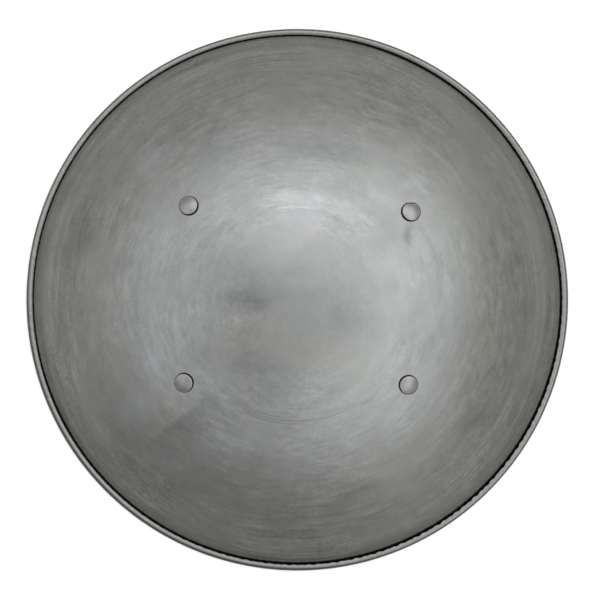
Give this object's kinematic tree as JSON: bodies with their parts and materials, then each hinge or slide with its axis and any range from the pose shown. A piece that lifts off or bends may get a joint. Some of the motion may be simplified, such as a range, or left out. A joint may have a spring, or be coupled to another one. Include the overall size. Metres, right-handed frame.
{
  "type": "buckler shield",
  "caption": "Round domed steel shield with a rolled rim, and riveted leather straps behind it for the hand and the forearm, carried to turn aside blows.",
  "frame": {"origin": "middle of the rim, on the plane that the rim rests on", "axes": "+Z out of the shield's face, +Y to its upper edge as it is carried, +X to the right seen from the front; the shield lies face up"},
  "size_m": [0.4, 0.4, 0.068],
  "materials": {
    "shell_steel": "satin, brushed by hand, oiled and a little darkened",
    "rivet_steel": "satin, with hammer marks and grime round the head",
    "strap_leather": "oiled vegetable-tanned leather with burnished edges"
  },
  "bodies": {
    "root": {"shield_shell": "shell_steel", "rivet_upper_left": "rivet_steel", "rivet_upper_right": "rivet_steel", "rivet_lower_left": "rivet_steel", "rivet_lower_right": "rivet_steel", "hand_strap": "strap_leather", "arm_strap": "strap_leather"}
  },
  "joints": []
}
